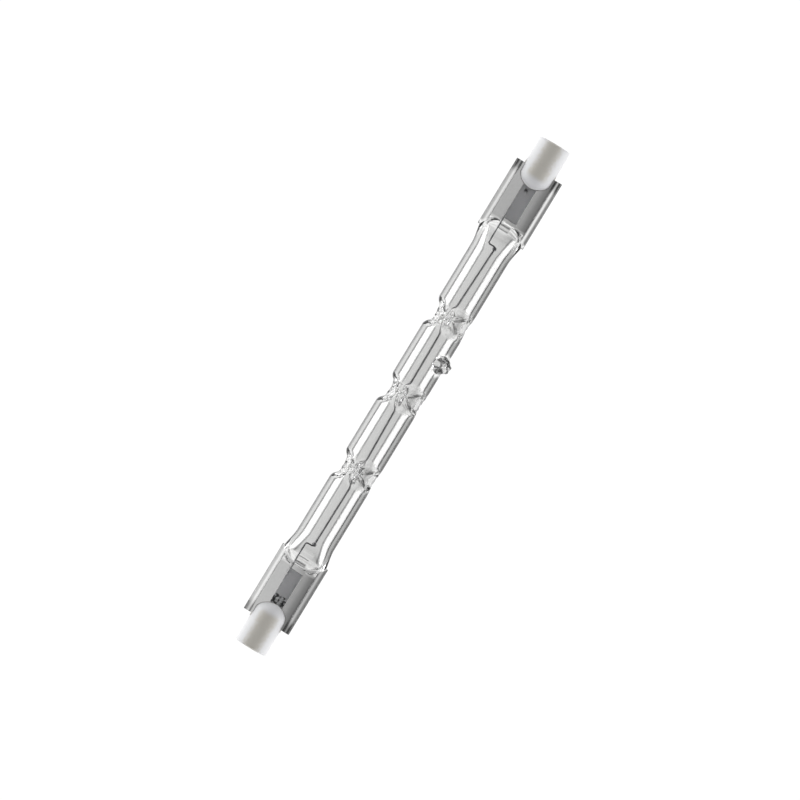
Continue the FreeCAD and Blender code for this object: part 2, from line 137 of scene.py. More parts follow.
def turned(profile, segments):
    shape = bmesh.new()
    points = [shape.verts.new((along, radius, 0)) for along, radius, *_ in profile]
    for pair in zip(points, points[1:]):
        shape.edges.new(pair)
    for point, (_, _, *rounding) in zip(points, profile):
        if rounding:
            bmesh.ops.bevel(
                shape, geom=[point], offset=rounding[0], offset_type="OFFSET",
                segments=CORNER_STEPS, profile=0.5, affect="VERTICES", material=-1,
            )
    return spin_round(shape, segments)


# %% [markdown]
# ## Blocks, and joining and cutting
# A block is a cube scaled to two corners. Where two shapes of the same glass meet, they have to
# become one skin, because a wall inside clear glass would show. The Boolean modifier does that,
# and its result is written back into the mesh.

# %% Make a block, join or cut
def block(low, high, edge_round=0.0):
    """A box between two corners, with its edges rounded."""
    shape = bmesh.new()
    bmesh.ops.create_cube(shape, size=1)
    low, high = Vector(low), Vector(high)
    bmesh.ops.scale(shape, vec=high - low, verts=shape.verts)
    bmesh.ops.translate(shape, vec=(low + high) / 2, verts=shape.verts)
    if edge_round:
        bmesh.ops.bevel(
            shape, geom=shape.edges, offset=edge_round, segments=3, profile=0.5,
            affect="EDGES", material=-1,
        )
    return shape


def combine(target, operation, tools):
    for tool in tools:
        step = target.modifiers.new(operation.lower(), "BOOLEAN")
        step.operation = operation
        step.solver = "MANIFOLD"
        step.object = tool
        result = target.evaluated_get(bpy.context.evaluated_depsgraph_get())
        mesh = bpy.data.meshes.new_from_object(result)
        target.modifiers.remove(step)
        target.data = mesh
        bpy.data.objects.remove(tool)
    target.data.name = target.name
    print(f"{target.name}: {operation.lower()} leaves {len(target.data.polygons)} faces")


# %% [markdown]
# ## The jaws that press the glass
# The envelope began as a plain quartz tube. It was drawn in a little at three places, and there
# three blunt jaws, 120 degrees apart, pressed it almost to the filament. The first rule says how
# far from the axis a jaw's wedge is met in one direction. Where two faces of it meet, a blunt
# minimum rounds the crease.

# %% Describe the jaws
FILAMENT_GRIP = 0.4 * MM
JAW_NOSE = Vector((0.2 * MM, 0.55 * MM))
JAW_LEAN = math.tan(math.radians(40))
JAW_OFFSET = math.tan(math.radians(25))
JAW_DIRECTIONS = [0, math.radians(120), math.radians(240)]
LEAST_ROOM = 0.05
CREASE = 0.5 * MM


def ease(value):
    value = min(max(value, 0), 1)
    return value * value * (3 - 2 * value)


def from_support(x):
    """How far along the lamp the nearest support is. It serves numbers and shades alike."""
    return abs(abs(abs(x) - SUPPORT_PITCH / 2) - SUPPORT_PITCH / 2)


def blunt_minimum(one, other, width):
    near = max(width - abs(one - other), 0) / width
    return min(one, other) - near * near * width / 4


def distance_to_jaw(turn, offset, nose, half):
    """How far from the axis a ray at this turn from the jaw enters the blunt wedge."""
    room = JAW_LEAN * math.cos(turn) - math.sin(turn)
    if room < LEAST_ROOM:
        return TUBE_RADIUS * 2
    front = nose / math.cos(turn)
    by_length = ((abs(offset) - half.x) / JAW_LEAN + nose) / math.cos(turn)
    by_width = (JAW_LEAN * nose - half.y) / room
    return -blunt_minimum(-by_width, blunt_minimum(-front, -by_length, CREASE), CREASE)


print("jaws at", [round(math.degrees(turn)) for turn in JAW_DIRECTIONS], "degrees")


# %% [markdown]
# ## Flattening, pressing and softening
# The ends of the tube were heated and flattened. One rule says how far the skin lies from the axis
# in each direction, and it serves the outside and the cavity with two sets of values. So a tube is
# sculpted here by spinning a plain one and moving its vertices. Melted glass keeps no sharp
# crease, so the pressed places are smoothed several times, and a little noise leaves them lumpy.

# %% Flatten, press and soften a tube
FLAT_STARTS = 0.25
FLAT_ENDS = 0.8
FLATTENING = 2.8
WAIST_LENGTH = 6.0 * MM
WAIST_DEPTH = 0.3 * MM
LUMPS = 0.26 * MM
LUMP_SIZE = 0.7 * MM
LUMPY_HALF = 0.8 * MM
SOFTENING = 8


def press(shape, radius, spread, foot, foot_height, nose, half):
    """Flatten and press a plain tube of this radius."""
    length = (SHOULDER_END - ROUND_END) * foot
    for vertex in shape.verts:
        x, y, z = vertex.co
        turn = math.atan2(z, y)
        share = min(math.hypot(y, z) / radius, 1)
        along = min(max((abs(x) - ROUND_END) / length, 0), 1)
        across = radius + spread * ease((along - FLAT_STARTS) / (FLAT_ENDS - FLAT_STARTS))
        tall = foot_height + (radius - foot_height) * (1 - along**FLATTENING)
        for station in (-SUPPORT_PITCH, 0, SUPPORT_PITCH):
            offset = x - station
            if along or abs(offset) > SUPPORT_PITCH / 2:
                continue
            inward = WAIST_DEPTH * math.cos(math.pi * min(abs(offset) / WAIST_LENGTH, 0.5)) ** 2
            reach = radius - inward
            for direction in JAW_DIRECTIONS:
                away = abs((turn - direction + math.pi) % math.tau - math.pi)
                if away < math.pi / 2:
                    jaw = distance_to_jaw(away, offset, nose, half)
                    reach = blunt_minimum(reach, jaw, CREASE)
            across = tall = reach
        vertex.co = (x, across * share * math.cos(turn), tall * share**3 * math.sin(turn))


def soften(shape):
    """Smooth the pressed places, and then make them lumpy."""
    reach = WAIST_LENGTH / 2
    pressed = [vertex for vertex in shape.verts if from_support(vertex.co.x) < reach]
    for _ in range(SOFTENING):
        bmesh.ops.smooth_vert(
            shape, verts=pressed, factor=0.5, use_axis_x=True, use_axis_y=True, use_axis_z=True
        )
    for vertex in pressed:
        near = 1 - ease((from_support(vertex.co.x) - LUMPY_HALF) / (reach - LUMPY_HALF))
        outward = Vector((0, vertex.co.y, vertex.co.z)).normalized()
        vertex.co += outward * LUMPS * near * noise.noise(vertex.co / LUMP_SIZE)


# %% [markdown]
# ## The tube and its cavity
# A spun chain of short edges gives a tube with even rows. The outside runs on into the pinch, where
# it is lost in the flat web, and the cavity closes in a round tongue, as softened glass does. The
# cavity reaches a little less far at end B than at end A.

# %% Spin the tube and the cavity
ROWS_PER_MM = 4
TUBE_SEGMENTS = 112
TONGUE_STEPS = 10
TONGUE = 1.9 * MM
OUTSIDE = {"spread": 0.7 * MM, "foot": 1.08, "foot_height": 0.7 * MM}
CAVITY = {"spread": 0.35 * MM, "foot": 0.99, "foot_height": 0.35 * MM}
END_B_SHORTER = 0.7 * MM
SHORTENED_FROM = 30 * MM
SHORTENED_OVER = 9 * MM


def plain_tube(half_length, radius, tongue=0.0):
    """A closed tube along X. With a tongue, its ends close in a quarter of an ellipse that long."""
    shape = bmesh.new()
    straight = half_length - tongue
    points = [shape.verts.new((side * straight, radius, 0)) for side in (-1, 1)]
    edge = shape.edges.new(points)
    cuts = int(2 * straight / MM * ROWS_PER_MM)
    bmesh.ops.subdivide_edges(shape, edges=[edge], cuts=cuts)
    for side in (-1, 1):
        last = max(shape.verts, key=lambda point: side * point.co.x)
        steps = TONGUE_STEPS if tongue else 1
        for step in range(1, steps + 1):
            bend = math.pi / 2 * step / steps
            across = radius * math.cos(bend) if step < steps else 0
            new = shape.verts.new((side * (straight + tongue * math.sin(bend)), across, 0))
            shape.edges.new((last, new))
            last = new
    return spin_round(shape, TUBE_SEGMENTS)


outside = plain_tube(ROUND_END + (SHOULDER_END - ROUND_END) * OUTSIDE["foot"], TUBE_RADIUS)
press(outside, TUBE_RADIUS, nose=FILAMENT_GRIP + TUBE_WALL, half=JAW_NOSE, **OUTSIDE)
soften(outside)
cavity_radius = TUBE_RADIUS - TUBE_WALL
cavity = plain_tube(ROUND_END + (SHOULDER_END - ROUND_END) * CAVITY["foot"], cavity_radius, TONGUE)
inner_nose = JAW_NOSE + Vector((1, 1)) * TUBE_WALL * JAW_OFFSET
press(cavity, cavity_radius, nose=FILAMENT_GRIP, half=inner_nose, **CAVITY)
soften(cavity)
for vertex in cavity.verts:
    vertex.co.x += END_B_SHORTER * ease((-vertex.co.x - SHORTENED_FROM) / SHORTENED_OVER)
print(f"outside {len(outside.verts)} points, cavity {len(cavity.verts)} points")

# %% [markdown]
# ## The pinch seals
# Each end was pressed flat round the sealing foil. The jaws left a web between two thicker rails,
# a raised pad over the weld of the inner lead and a short mark beside it. An H of twelve corners is
# extruded along the pinch, its long outer edges are bevelled round, and its start slopes down into
# the shoulder.

# %% Press the pinches
WEB_HALF = 1.15 * MM
RAIL_WIDTH = 1.4 * MM
RAIL_HALF = 1.75 * MM
RAIL_ROUND = 0.5 * MM
SLOPE_LENGTH = 0.6 * MM
SLOPE_LOW = 0.4
SLOPE_REACH = 0.9 * MM
STEP_HALF_WIDTH = 1.7 * MM
STEPS = {  # start, end, lift and edge rounding
    "pad": (SHOULDER_END - 1.6 * MM, SHOULDER_END + 2.2 * MM, 0.25 * MM, 0.12 * MM),
    "mark": (SHOULDER_END + 2.65 * MM, SHOULDER_END + 3.25 * MM, 0.12 * MM, 0.08 * MM),
}


def pinch_seal():
    inner = SEAL_HALF_WIDTH - RAIL_WIDTH
    corners = [(SEAL_HALF_WIDTH, RAIL_HALF), (inner, RAIL_HALF), (inner, WEB_HALF)]
    corners += [(-y, z) for y, z in reversed(corners)]
    corners += [(y, -z) for y, z in reversed(corners)]
    shape = bmesh.new()
    face = shape.faces.new([shape.verts.new((SEAL_START, y, z)) for y, z in corners])
    grown = bmesh.ops.extrude_face_region(shape, geom=[face])
    moved = [item for item in grown["geom"] if isinstance(item, bmesh.types.BMVert)]
    bmesh.ops.translate(shape, vec=(SEAL_LENGTH, 0, 0), verts=moved)
    bmesh.ops.recalc_face_normals(shape, faces=shape.faces)
    long_edges = [
        edge for edge in shape.edges
        if abs(abs(edge.verts[0].co.z) - RAIL_HALF) < MERGE_WITHIN and edge.calc_length() > SEAL_LENGTH / 2
    ]
    bmesh.ops.bevel(
        shape, geom=long_edges, offset=RAIL_ROUND, segments=5, profile=0.5, affect="EDGES", material=-1
    )
    whole = shape.verts[:] + shape.edges[:] + shape.faces[:]
    cut = (SEAL_START + SLOPE_LENGTH, 0, 0)
    bmesh.ops.bisect_plane(shape, geom=whole, plane_co=cut, plane_no=(1, 0, 0))
    start = [vertex for vertex in shape.verts if vertex.co.x < SEAL_START + SLOPE_LENGTH / 2]
    bmesh.ops.scale(shape, vec=(1, 1, SLOPE_LOW), verts=start)
    bmesh.ops.translate(shape, vec=(-SLOPE_REACH, 0, 0), verts=start)
    return shape


def raised_step(start, end, lift, edge_round):
    """A low step on both faces of the web."""
    half = Vector((0, STEP_HALF_WIDTH, WEB_HALF + lift))
    return block(Vector((start, 0, 0)) - half, Vector((end, 0, 0)) + half, edge_round)


def turn_to(shape, side):
    bmesh.ops.transform(shape, matrix=END_TURNS[side], verts=shape.verts)
    return shape


additions = []
for side in END_TURNS:
    shapes = {"pinch": pinch_seal(), **{name: raised_step(*step) for name, step in STEPS.items()}}
    additions += [make_object(f"{name}_{side}", turn_to(shape, side)) for name, shape in shapes.items()]
print("pinch shapes:", [addition.name for addition in additions])

# %% [markdown]
# ## The tip-off
# The lamp was pumped and filled through a thin side tube, which was then melted shut. It leaves a
# lumpy drop of glass with a blind channel in it. A turned profile gives the drop, and a little
# noise in its vertices makes it as uneven as a hand-drawn one. The noise is read at three places
# far apart, one for each direction.

# %% Turn the tip and its channel
TIP_STATION = 9.2 * MM
TIP_DIRECTION = math.radians(140)
DROP_FOOT = TUBE_RADIUS - 0.5 * MM
DROP_END = 6.6 * MM
DROP_LUMPS = 0.3 * MM
DROP_LUMP_SIZE = 1.0 * MM
DROP_LUMPY_OVER = 0.8 * MM
NOISE_PLACES = (0, 20, 40)
CHANNEL_START = 2.5 * MM
CHANNEL_END = 5.4 * MM

tip_matrix = (
    Matrix.Translation((TIP_STATION, 0, 0))
    @ Matrix.Rotation(TIP_DIRECTION, 4, "X")
    @ Matrix.Rotation(math.pi / 2, 4, "Z")
)
drop = turned([
    (DROP_FOOT, 0), (DROP_FOOT, 2.1 * MM), (TUBE_RADIUS + 0.1 * MM, 1.95 * MM, 0.3 * MM),
    (TUBE_RADIUS + 0.5 * MM, 1.8 * MM), (TUBE_RADIUS + 0.9 * MM, 1.6 * MM, 0.3 * MM),
    (5.5 * MM, 1.45 * MM), (5.8 * MM, 1.3 * MM), (6.1 * MM, 1.15 * MM, 0.25 * MM),
    (6.35 * MM, 0.85 * MM), (DROP_END, 0.55 * MM, 0.2 * MM), (DROP_END, 0.28 * MM), (DROP_END, 0),
], TUBE_SEGMENTS)
for vertex in drop.verts:
    free = ease((vertex.co.x - TUBE_RADIUS) / DROP_LUMPY_OVER)
    spots = [vertex.co / DROP_LUMP_SIZE + Vector((place, 0, 0)) for place in NOISE_PLACES]
    lump = Vector([noise.noise(spot) for spot in spots]) * DROP_LUMPS * free
    vertex.co += Vector((min(lump.x, 0), lump.y, lump.z))
channel = turned([
    (CHANNEL_START, 0), (CHANNEL_START, 0.75 * MM), (4.6 * MM, 0.6 * MM, 0.5 * MM),
    (CHANNEL_END, 0.2 * MM), (CHANNEL_END, 0),
], 32)
for shape in (drop, channel):
    bmesh.ops.transform(shape, matrix=tip_matrix, verts=shape.verts)
print(f"tip {TIP_STATION / MM:.1f} mm from the middle, {len(drop.verts)} points")

# %% [markdown]
# ## One skin of glass
# The outside, the pinches and the drop are joined, and the cavity with its channel is cut out.

# %% Join the glass
GLASS_CRISP_ABOVE = 40
envelope = make_object("clear_envelope", outside)
combine(envelope, "UNION", additions + [make_object("drop", drop)])
hollow = make_object("hollow", cavity)
combine(hollow, "UNION", [make_object("channel", channel)])
combine(envelope, "DIFFERENCE", [hollow])
keep_crisp(envelope.data, GLASS_CRISP_ABOVE)


# %% [markdown]
# ## Shader maths as plain expressions
# A finish is a small node graph. The Shade class wraps one socket, so that an expression such as
# 1 - mask * 0.3 adds its Math nodes by itself. Its other methods are the masks that a painter
# needs: a soft step, a strip and a hill.

# %% Wrap a socket
class Shade:
    def __init__(self, nodes, socket):
        self.nodes = nodes
        self.socket = socket

    def math(self, operation, *values):
        return self.nodes.node("ShaderNodeMath", {"operation": operation}, dict(enumerate(values)))

    def __add__(self, other):
        return self.math("ADD", self, other)

    def __sub__(self, other):
        return self.math("SUBTRACT", self, other)

    def __rsub__(self, other):
        return self.math("SUBTRACT", other, self)

    def __mul__(self, other):
        return self.math("MULTIPLY", self, other)

    def __abs__(self):
        return self.math("ABSOLUTE", self)

    __radd__ = __add__
    __rmul__ = __mul__

    def within(self, low, high):
        return self.math("MINIMUM", self.math("MAXIMUM", self, low), high)

    def between(self, low, high):
        """0 below low, 1 above high, and a smooth step in between."""
        settings = {"interpolation_type": "SMOOTHSTEP"}
        sockets = {"Value": self, "From Min": low, "From Max": high}
        return self.nodes.node("ShaderNodeMapRange", settings, sockets)

    def strip(self, half, end):
        """1 up to half on both sides of 0, and 0 from end on."""
        return 1 - abs(self).between(half, end)

    def hill(self, middle, half):
        """1 at the middle, falling smoothly to 0 at this distance on both sides."""
        return (self - middle).strip(0.0, half)


# %% [markdown]
# ## Node trees and finishes
# One method adds every other node: it takes the node's type, its settings and its sockets. A Finish
# is a material with such a tree. Its patterns read the object's own coordinates, so they stay on
# the piece.

# %% Wrap a node tree and a material
class Nodes:
    def __init__(self, tree):
        self.tree = tree

    def node(self, kind, settings=None, sockets=None, output=0):
        node = self.tree.nodes.new(kind)
        for name, value in (settings or {}).items():
            setattr(node, name, value)
        for name, value in (sockets or {}).items():
            self.feed(node.inputs[name], value)
        return Shade(self, node.outputs[output])

    def feed(self, socket, value):
        """Link a shade to a socket, or give it a value. A colour is given without its alpha."""
        if isinstance(value, Shade):
            self.tree.links.new(value.socket, socket)
        else:
            socket.default_value = (*value, 1) if socket.type == "RGBA" else value

    def split(self, vector):
        node = self.tree.nodes.new("ShaderNodeSeparateXYZ")
        self.feed(node.inputs["Vector"], vector)
        return [Shade(self, socket) for socket in node.outputs]


class Finish(Nodes):
    def __init__(self, name, **constants):
        self.material = bpy.data.materials.new(name)
        self.material.use_nodes = True
        super().__init__(self.material.node_tree)
        self.shader = self.tree.nodes["Principled BSDF"]
        for socket, value in constants.items():
            self.set(socket.replace("_", " "), value)

    def set(self, name, value):
        self.feed(self.shader.inputs[name], value)

    def place(self):
        """The object's own coordinates: X along the lamp, Y across it and Z up, in metres."""
        place = self.node("ShaderNodeTexCoord", output="Object")
        return place, self.split(place)

    def mix(self, factor, one, other):
        """From one colour to the other."""
        node = self.tree.nodes.new("ShaderNodeMix")
        node.data_type = "RGBA"
        sockets = {socket.identifier: socket for socket in [*node.inputs, *node.outputs]}
        for name, value in (("Factor_Float", factor), ("A_Color", one), ("B_Color", other)):
            self.feed(sockets[name], value)
        return Shade(self, sockets["Result_Color"])

    def grain(self, place, scale, detail):
        sockets = {"Vector": place, "Scale": scale, "Detail": detail}
        return self.node("ShaderNodeTexNoise", None, sockets)

    def bump(self, height, strength, distance):
        sockets = {"Height": height, "Strength": strength, "Distance": distance}
        self.set("Normal", self.node("ShaderNodeBump", None, sockets))


# %% [markdown]
# ## Fused quartz: the tube, its supports and its tip
# Clear glass shows itself by its edges. Near its outline the tube is painted dark: a painted shade
# that Layer Weight gives from every side, a little deeper on the shaded side, towards -Y. The envelope
# is one piece with one finish, whose tint is worked out bit by bit: 1 is clear and 0 is black. The
# painted dark edges are weaker on the pressed supports, which have patches of painted grey shade
# broken up by a grain, and on the melted tip, which has one painted dark dot of shade.

# %% Tint the tube
quartz = Finish("fused_quartz", IOR=1.458, Transmission_Weight=1.0)
place, (x, y, z) = quartz.place()
down = y * -1
facing = quartz.node("ShaderNodeLayerWeight", None, {"Blend": 0.5}, output="Facing")
crystals = quartz.grain(place, 2200.0, 3.0)
# Painted shade: the side towards -Y is a little darker.
shaded_side = down.between(-1.5 * MM, 1.5 * MM)
at_tip = (x - TIP_STATION).strip(1.9 * MM, 2.4 * MM) * down.between(2.2 * MM, 2.8 * MM)
to_support = from_support(x)
pressed = 1 - to_support.between(1.2 * MM, 2.8 * MM)
# The dark outline is painted shade, weaker at the tip and on the supports.
edge = (facing + shaded_side * 0.05).between(0.45, 0.68) * (1 - at_tip * 0.85) * (1 - pressed * 0.4)
clear = 0.97 - edge * (shaded_side * 0.06 + 0.88)
# A painted dark dot of shade at the tip, where its channel ends.
painted_dot_shade = x.hill(8.2 * MM, 0.4 * MM) * y.hill(-4.25 * MM, 0.4 * MM)
clear *= 1 - painted_dot_shade * at_tip * 0.9
# Painted grey shade low beside each support, broken up by the grain.
clear *= 1 - pressed * down.hill(2.0 * MM, 1.2 * MM) * crystals * 0.4

# %% [markdown]
# ## Fused quartz: the pinches
# The pressed quartz is painted greyer than the tube, a painted shade, and it is faintly rippled. Its
# painted tone changes across the web: each rail has a painted highlight line and a painted dark
# outline, the lower side is darker, and the rail ends under the caps carry painted shade. Over the
# foil it is clear, so that the foil's own colour shows, and one edge of the foil is darker. A pinch
# starts at an arc, where the tube runs out in it, and that lies farther from the middle at end A.

# %% Tint the pinches
RAIL_LINE = 4.35 * MM
RAIL_LINE_HALF = 0.5 * MM
ARC_BEND = 75.0

end_a = x.between(-1 * MM, 1 * MM)
end_b = 1 - end_a
run = abs(x) - end_a * END_B_SHORTER
arc = run + y * y * ARC_BEND + end_a * (0.15 * MM)
in_pinch = arc.between(39.3 * MM, 39.5 * MM)

# The web's grey is painted shade, darker on the shaded side and low down.
painted_web_shading = 0.52 - end_a * 0.09 - shaded_side * (0.15 - end_a * 0.09)
painted_web_shading -= down.between(1.8 * MM, 3.6 * MM) * 0.16
# Painted highlight lines along the rails, the one towards -Y brighter at end A.
painted_web_shading += y.hill(RAIL_LINE, RAIL_LINE_HALF) * 0.4
painted_web_shading += y.hill(-RAIL_LINE, RAIL_LINE_HALF) * (0.4 + end_a * 0.5)
# Painted dark outlines along the rails, and painted shade on the rail ends under the caps.
painted_web_shading -= y.hill(-3.75 * MM, 0.3 * MM) * 0.06 + abs(y).between(4.75 * MM, 5.1 * MM) * 0.25
under_cap_shade = (abs(x) + crystals * (1.2 * MM)).between(50.2 * MM, 52.4 * MM)
painted_web_shading -= under_cap_shade * abs(y).between(3.6 * MM, 4.0 * MM) * (end_a * 0.2 + 0.3)
painted_web_shading = (painted_web_shading * (crystals * 0.16 + 0.92)).within(0.05, 1.0)

painted_web_shading += (1 - painted_web_shading) * y.strip(1.4 * MM, 1.5 * MM) * abs(x).between(41.0 * MM, 41.15 * MM)
foil_edge = y.hill(1.4 * MM, 0.25 * MM) * end_a + y.hill(-1.25 * MM, 0.25 * MM) * end_b
painted_web_shading *= 1 - foil_edge * abs(x).between(42.4 * MM, 43 * MM) * 0.3

# %% [markdown]
# ## Fused quartz: the shoulders
# Between the round tube and the arc the glass fans out. The fan is painted a little darker than the
# tube, a painted shade that is deepest low down, and end B has two slanting strips of painted shade
# with a painted glint, a painted highlight, between them.

# %% Tint the shoulders
FAN_START = 35.0 * MM
FAN_SPREAD = 0.45
FACET_SLANT = 0.31

fan_half = (run - FAN_START) * FAN_SPREAD + 2.1 * MM
# The fan gets painted shade, deepest low down.
in_fan = run.between(34.6 * MM, 36.2 * MM) * (1 - (abs(y) - fan_half).between(-0.3 * MM, 0.3 * MM))
low_fan_shade = down.between(0.2 * MM, 2.2 * MM) * run.between(35.5 * MM, 38.0 * MM) * (end_a * 0.2 + 0.1)
clear *= 1 - in_fan * (run.between(35.5 * MM, 38.5 * MM) * 0.1 + 0.05 + low_fan_shade)
# Two slanting strips of painted shade at end B, with a painted highlight between them.
painted_facet_shade = (abs(x) - abs(y) * FACET_SLANT).hill(36.5 * MM, 0.5 * MM) * abs(y).between(1.8 * MM, 2.6 * MM)
clear *= 1 - painted_facet_shade * end_b * 0.35
painted_glint = abs(x).hill(36.9 * MM, 0.5 * MM) * y.strip(1.2 * MM, 1.6 * MM) * end_b

# %% [markdown]
# ## Fused quartz: the arcs, and the whole finish
# The hollow's end inside the pinch stays clear. A painted highlight line follows the arc outside
# it, with part of a second one before it, and the middle of that is a painted dark bar of shade.
# Then tube and pinch are put together, and a fine ripple in the surface breaks up the reflections.

# %% Tint the arcs and finish the quartz
ARC_LINE = 39.55 * MM
SECOND_LINE = 38.85 * MM

ceiling = (40 * MM - abs(x)).within(0, 3 * MM) * 0.45 + 1.1 * MM
in_hollow = 1 - (abs(z) - ceiling).between(-0.1 * MM, 0.1 * MM)
hollow_end = in_hollow * abs(x).between(36.8 * MM, 37.6 * MM) * x.strip(40.3 * MM, 40.5 * MM)
hollow_end *= y.strip(3.9 * MM, 4.1 * MM)
# Painted highlight lines along the arcs, and a painted dark bar of shade.
beside = y.between(0.8 * MM, 1.5 * MM) + down.between(0.8 * MM, 1.5 * MM) * end_a
painted_highlight_lines = arc.hill(ARC_LINE, 0.3 * MM) + arc.hill(SECOND_LINE, 0.2 * MM) * beside
painted_dark_bar = (run - end_b * (0.15 * MM)).hill(SECOND_LINE, 0.42 * MM)
painted_dark_bar *= (y - 0.2 * MM).strip(1.0 * MM, 1.4 * MM) * (1 - in_hollow)

tint = clear + (painted_web_shading - clear) * in_pinch + painted_highlight_lines + painted_glint * 0.4 + hollow_end
tint = (tint * (1 - painted_dark_bar * 0.97)).within(0.02, 1.0)
quartz.set("Base Color", quartz.mix(tint, (0, 0, 0), (1.0, 1.0, 0.995)))
quartz.set("Roughness", at_tip * 0.2 + (1 - to_support.between(2.2 * MM, 4.0 * MM)) * 0.1)
ripple = quartz.grain(place, 900.0, 2.0) * (in_pinch * 0.8 + 0.2)
quartz.bump(ripple + crystals * (pressed * 0.5 + in_pinch * 0.15), 0.25, 0.05 * MM)
print("quartz:", len(quartz.tree.nodes), "nodes")

# %% [markdown]
# ## Ceramic and cement
# The caps are steatite, pressed and fired: off-white and matt. Along the crown of the collar and
# the barrel a painted shade makes the white a little darker and warmer, with an uneven border. The
# cement in the slots is rougher and darker.

# %% Make the ceramic and the cement
ceramic = Finish("steatite", Roughness=0.5)
place, (x, _, z) = ceramic.place()
speckle = ceramic.grain(place, 1500.0, 4.0)
# Painted shade along the crown, mottled at its border.
painted_crown_shade = (abs(z) + speckle * (0.9 * MM)).between(2.9 * MM, 3.9 * MM) * abs(x).between(50.2 * MM, 51.6 * MM)
ceramic.set("Base Color", ceramic.mix(painted_crown_shade, (0.86, 0.86, 0.865), (0.72, 0.69, 0.62)))
ceramic.bump(ceramic.grain(place, 1800.0, 4.0), 0.3, 0.03 * MM)

cement = Finish("cement", Roughness=0.85)
place, _ = cement.place()
lime = cement.grain(place, 1500.0, 5.0)
cement.set("Base Color", cement.mix(lime, (0.62, 0.59, 0.54), (0.78, 0.76, 0.72)))
cement.bump(cement.grain(place, 2200.0, 5.0), 0.6, 0.06 * MM)
print("ceramic:", len(ceramic.tree.nodes), "nodes, cement:", len(cement.tree.nodes), "nodes")

# %% [markdown]
# ## The metals
# Nickel on the contacts, pale molybdenum in the pinches, and dark drawn tungsten on the hooks and
# the filament. The weld of each outer lead on its foil is burnt dark and specked. The ends of the
# hooks, which lie in the pinch, look paler there.

# %% Make the metals
nickel = Finish("nickel", Base_Color=(0.66, 0.63, 0.58), Metallic=1.0)
place, _ = nickel.place()
nickel.set("Roughness", nickel.grain(place, 900.0, 4.0) * 0.25 + 0.2)

molybdenum = Finish("molybdenum", Metallic=0.1, Roughness=0.6)
place, (x, y, _) = molybdenum.place()
specks = molybdenum.grain(place, 1500.0, 2.0).between(0.42, 0.56)
weld_b = (x + 47.7 * MM).strip(0.9 * MM, 1.1 * MM)
weld_a = x.hill(48.0 * MM, 0.7 * MM) * (y - 0.3 * MM).strip(0.3 * MM, 0.5 * MM)
burnt = (weld_b + weld_a) * specks
molybdenum.set("Base Color", molybdenum.mix(burnt, (0.9, 0.9, 0.91), (0.06, 0.06, 0.06)))

tungsten = Finish("tungsten", Roughness=0.4)
_, (x, _, _) = tungsten.place()
in_seal = abs(x).between(36.5 * MM, 39.5 * MM)
tungsten.set("Base Color", tungsten.mix(in_seal, (0.16, 0.16, 0.165), (0.7, 0.7, 0.71)))
tungsten.set("Metallic", 1 - in_seal * 0.9)
print("metals:", nickel.material.name, molybdenum.material.name, tungsten.material.name)

# %% [markdown]
# ## The ceramic caps
# A cap is a turned body: a dome that faces the glass, a low collar, a plain barrel, and a stepped
# hole for the contact in its end. A slot through the dome takes the pinch.

# %% Turn the caps
BARREL_RADIUS = 3.45 * MM
COLLAR_RADIUS = cap_high.z
DOME_TIP = SEAL_END - 4.05 * MM
DOME_RADIUS = 4.0 * MM
DOME_EDGE = COLLAR_RADIUS - 0.45 * MM
DOME_DEPTH = DOME_RADIUS - math.sqrt(DOME_RADIUS**2 - DOME_EDGE**2)
DOME_STEPS = 10
COLLAR_END = SEAL_END + 0.5 * MM
RECESS_RADIUS = 1.8 * MM
SEAT_RADIUS = 1.4 * MM
SHANK_RADIUS = 0.85 * MM
RECESS_FLOOR = cap_high.x - 1.6 * MM
SEAT_FLOOR = cap_high.x - 2.3 * MM
SLOT_END = SEAL_END + 0.6 * MM
SLOT_HALF = WEB_HALF + 0.15 * MM
SHANK_END = SLOT_END - 0.5 * MM
CAP_SEGMENTS = 96


def cap_shape():
    reach = math.asin(DOME_EDGE / DOME_RADIUS)
    turns = [reach * step / DOME_STEPS for step in range(DOME_STEPS + 1)]
    profile = [
        (DOME_TIP + DOME_RADIUS * (1 - math.cos(turn)), DOME_RADIUS * math.sin(turn)) for turn in turns
    ]
    profile += [
        (DOME_TIP + DOME_DEPTH + 0.8 * MM, COLLAR_RADIUS, 0.5 * MM),
        (COLLAR_END, COLLAR_RADIUS, 0.1 * MM),
        (COLLAR_END + 0.5 * MM, BARREL_RADIUS, 0.1 * MM),
        (cap_high.x, BARREL_RADIUS, 0.45 * MM),
        (cap_high.x, RECESS_RADIUS, 0.2 * MM),
        (RECESS_FLOOR, RECESS_RADIUS),
        (RECESS_FLOOR, SEAT_RADIUS),
        (SEAT_FLOOR, SEAT_RADIUS),
        (SEAT_FLOOR, SHANK_RADIUS),
        (SHANK_END, SHANK_RADIUS),
        (SHANK_END, 0),
    ]
    return turned(profile, CAP_SEGMENTS)


def slot_shape():
    half = Vector((0, 2 * COLLAR_RADIUS, SLOT_HALF))
    return block(Vector((cap_low.x - MM, 0, 0)) - half, Vector((SLOT_END, 0, 0)) + half)


for side in END_TURNS:
    cap = make_object(f"cap_{side}", turn_to(cap_shape(), side))
    combine(cap, "DIFFERENCE", [make_object("slot", turn_to(slot_shape(), side))])
    keep_crisp(cap.data, CRISP_ABOVE)
    finish_piece(cap, ceramic.material, "ceramic", f"ceramic_cap_{side}")

# %% [markdown]
# ## The hooks
# The inner lead is a thin wire that comes out of the pinch beside the axis, bends across to it and
# ends in a spud that carries the coil. A melted bead sits on the bend. The wire's round section is
# extruded along the straights and spun through the bends.

